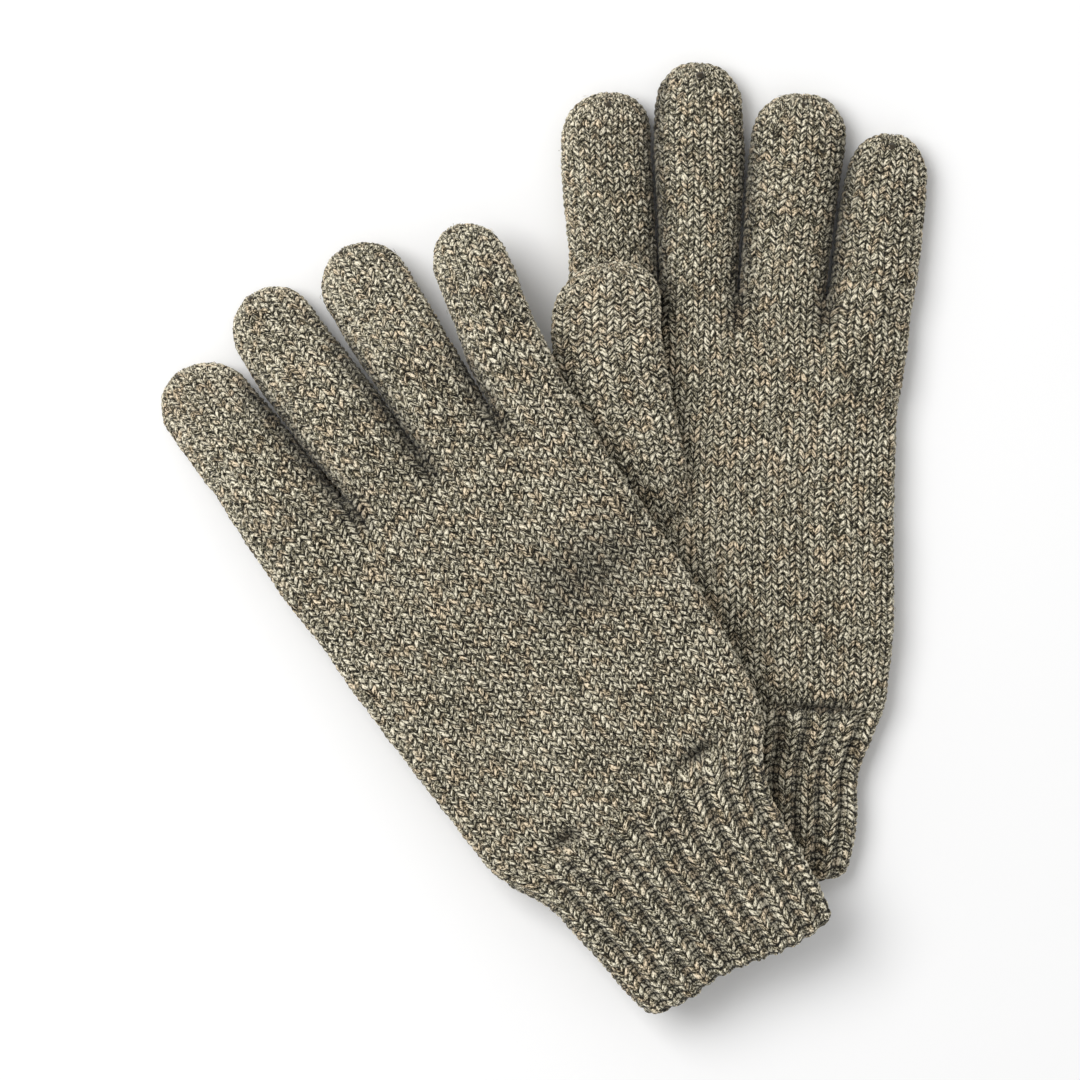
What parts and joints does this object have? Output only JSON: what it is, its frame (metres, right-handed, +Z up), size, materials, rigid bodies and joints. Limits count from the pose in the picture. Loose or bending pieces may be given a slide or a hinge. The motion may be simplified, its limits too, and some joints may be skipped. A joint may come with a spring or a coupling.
{
  "type": "touchscreen gloves",
  "caption": "Pair of lined knitted gloves with ribbed cuffs and conductive fingertips, laid one across the other, with fingers that fold and thumbs that swing.",
  "frame": {"origin": "bottom centre of the pair's box, on the surface that the gloves lie on", "axes": "+Z up, away from that surface; +Y towards the fingertips of the left glove; +X to its little finger side"},
  "size_m": [0.233, 0.299, 0.0406],
  "materials": {
    "ragg_knit": "melange ragg wool, stocking stitch",
    "rib_knit": "melange ragg wool, 1x1 rib",
    "touch_knit": "finer, paler knit with conductive yarn",
    "fleece_lining": "brushed fleece",
    "tip_knots": "drawn-in wool yarn",
    "tack_thread": "dark sewing thread"
  },
  "bodies": {
    "left_hand": {"left_hand_shell": "ragg_knit", "left_hand_lining": "fleece_lining", "left_wrist_tacks": "tack_thread", "left_rib_cuff": "rib_knit", "left_cuff_hem": "rib_knit"},
    "right_hand": {"right_hand_shell": "ragg_knit", "right_hand_lining": "fleece_lining", "right_wrist_tacks": "tack_thread", "right_rib_cuff": "rib_knit", "right_cuff_hem": "rib_knit"},
    "left_index": {"left_index": "ragg_knit", "left_index_lining": "fleece_lining", "left_index_tip_knot": "tip_knots", "left_index_touch_tip": "touch_knit"},
    "left_middle": {"left_middle": "ragg_knit", "left_middle_lining": "fleece_lining", "left_middle_tip_knot": "tip_knots"},
    "left_ring": {"left_ring": "ragg_knit", "left_ring_lining": "fleece_lining", "left_ring_tip_knot": "tip_knots"},
    "left_little": {"left_little": "ragg_knit", "left_little_lining": "fleece_lining", "left_little_tip_knot": "tip_knots"},
    "left_thumb": {"left_thumb": "ragg_knit", "left_thumb_lining": "fleece_lining", "left_thumb_tip_knot": "tip_knots", "left_thumb_touch_tip": "touch_knit"},
    "right_index": {"right_index": "ragg_knit", "right_index_lining": "fleece_lining", "right_index_tip_knot": "tip_knots", "right_index_touch_tip": "touch_knit"},
    "right_middle": {"right_middle": "ragg_knit", "right_middle_lining": "fleece_lining", "right_middle_tip_knot": "tip_knots"},
    "right_ring": {"right_ring": "ragg_knit", "right_ring_lining": "fleece_lining", "right_ring_tip_knot": "tip_knots"},
    "right_little": {"right_little": "ragg_knit", "right_little_lining": "fleece_lining", "right_little_tip_knot": "tip_knots"},
    "right_thumb": {"right_thumb": "ragg_knit", "right_thumb_lining": "fleece_lining", "right_thumb_tip_knot": "tip_knots", "right_thumb_touch_tip": "touch_knit"}
  },
  "joints": [
    {"name": "right_glove_lift", "type": "slide", "parent": "left_hand", "child": "right_hand", "axis": [0, 0, 1], "range_m": [0, 0.08]},
    {"name": "left_index_fold", "type": "hinge", "parent": "left_hand", "child": "left_index", "pos_m": [0.01706, 0.09885, 0.013], "axis": [1, -0.0052, 0], "range_deg": [0, 90]},
    {"name": "left_middle_fold", "type": "hinge", "parent": "left_hand", "child": "left_middle", "pos_m": [0.04684, 0.09681, 0.013], "axis": [0.9993, -0.0366, 0], "range_deg": [0, 90]},
    {"name": "left_ring_fold", "type": "hinge", "parent": "left_hand", "child": "left_ring", "pos_m": [0.07513, 0.09484, 0.013], "axis": [0.9969, -0.0785, 0], "range_deg": [0, 90]},
    {"name": "left_little_fold", "type": "hinge", "parent": "left_hand", "child": "left_little", "pos_m": [0.10246, 0.0929, 0.013], "axis": [0.9925, -0.1219, 0], "range_deg": [0, 90]},
    {"name": "left_thumb_swing", "type": "hinge", "parent": "left_hand", "child": "left_thumb", "pos_m": [0.02937, 0.00682, 0.0187], "axis": [0, 0, 1], "range_deg": [-30, 0]},
    {"name": "right_index_fold", "type": "hinge", "parent": "right_hand", "child": "right_index", "pos_m": [-0.09142, 0.01684, 0.02704], "axis": [0.7883, 0.5991, 0.1401], "range_deg": [0, 90]},
    {"name": "right_middle_fold", "type": "hinge", "parent": "right_hand", "child": "right_middle", "pos_m": [-0.06679, 0.03319, 0.0312], "axis": [0.8069, 0.5739, 0.1397], "range_deg": [0, 90]},
    {"name": "right_ring_fold", "type": "hinge", "parent": "right_hand", "child": "right_ring", "pos_m": [-0.04338, 0.0487, 0.03515], "axis": [0.8306, 0.5393, 0.139], "range_deg": [0, 90]},
    {"name": "right_little_fold", "type": "hinge", "parent": "right_hand", "child": "right_little", "pos_m": [-0.02074, 0.06364, 0.03896], "axis": [0.8536, 0.5023, 0.1379], "range_deg": [0, 90]},
    {"name": "right_thumb_swing", "type": "hinge", "parent": "right_hand", "child": "right_thumb", "pos_m": [-0.02428, -0.04745, 0.0053], "axis": [0, 0, 1], "range_deg": [0, 45]}
  ]
}
